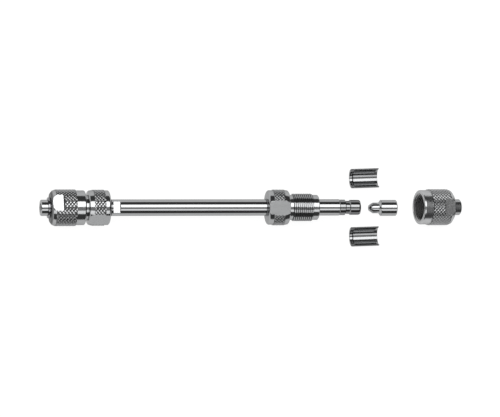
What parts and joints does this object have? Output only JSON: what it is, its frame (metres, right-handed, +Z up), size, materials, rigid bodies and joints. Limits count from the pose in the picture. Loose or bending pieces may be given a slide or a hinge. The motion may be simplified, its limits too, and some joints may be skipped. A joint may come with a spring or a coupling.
{
  "type": "hplc column",
  "caption": "Stainless steel cartridge column for liquid chromatography: packed tube, knurled coupling and cap nuts, outlet fitting made up, inlet fitting laid out in pieces.",
  "frame": {"origin": "under the middle of the whole layout, on the bench that the pieces lie on", "axes": "+X along the tube towards its inlet end, +Z up; the outlet end is at -X"},
  "size_m": [0.2128, 0.0392, 0.0189],
  "materials": {
    "polished_steel": "polished",
    "turned_steel": "finely turned and knurled",
    "spring_steel": "dull",
    "sintered_steel": "sintered, matt",
    "silica_packing": "packed powder, matt",
    "seal_plastic": "machined, satin"
  },
  "bodies": {
    "column": {"cartridge_tube": "polished_steel", "packed_bed": "silica_packing", "outlet_frit": "sintered_steel", "inlet_frit": "sintered_steel", "outlet_seat_ring": "seal_plastic", "inlet_seat_ring": "seal_plastic", "outlet_shell_front": "polished_steel", "outlet_shell_back": "polished_steel", "outlet_adapter": "polished_steel", "outlet_coupling_nut": "turned_steel", "inlet_shell_left": "polished_steel", "inlet_shell_right": "polished_steel", "guard_body": "polished_steel", "guard_front_frit": "sintered_steel", "guard_bed": "silica_packing", "guard_back_frit": "sintered_steel", "guard_end_ring": "seal_plastic", "inlet_cap_nut": "turned_steel"},
    "outlet_port": {"outlet_port_insert": "polished_steel", "outlet_snap_ring": "spring_steel", "outlet_face_seal": "seal_plastic"},
    "outlet_cap": {"outlet_cap_nut": "turned_steel"},
    "inlet_coupling": {"inlet_coupling_nut": "turned_steel"},
    "inlet_port": {"inlet_port_insert": "polished_steel", "inlet_snap_ring": "spring_steel", "inlet_face_seal": "seal_plastic"}
  },
  "joints": [
    {"name": "outlet_port_draw", "type": "slide", "parent": "column", "child": "outlet_port", "axis": [-1, 0, 0], "range_m": [0, 0.0106]},
    {"name": "outlet_cap_turn", "type": "hinge", "parent": "outlet_port", "child": "outlet_cap", "pos_m": [-0.08445, 0, 0.00905], "axis": [-1, 0, 0], "range_deg": [0, 3780]},
    {"name": "inlet_coupling_slide", "type": "slide", "parent": "column", "child": "inlet_coupling", "axis": [1, 0, 0], "range_m": [-0.0785, 0.0266]},
    {"name": "inlet_port_turn", "type": "hinge", "parent": "column", "child": "inlet_port", "pos_m": [0.08415, 0, 0.01059], "axis": [0.9868, 0, -0.1622], "continuous": true}
  ],
  "couplings": [
    {"joint": "outlet_port_draw", "follows": "outlet_cap_turn", "m_per_rad": 0.00015915}
  ]
}
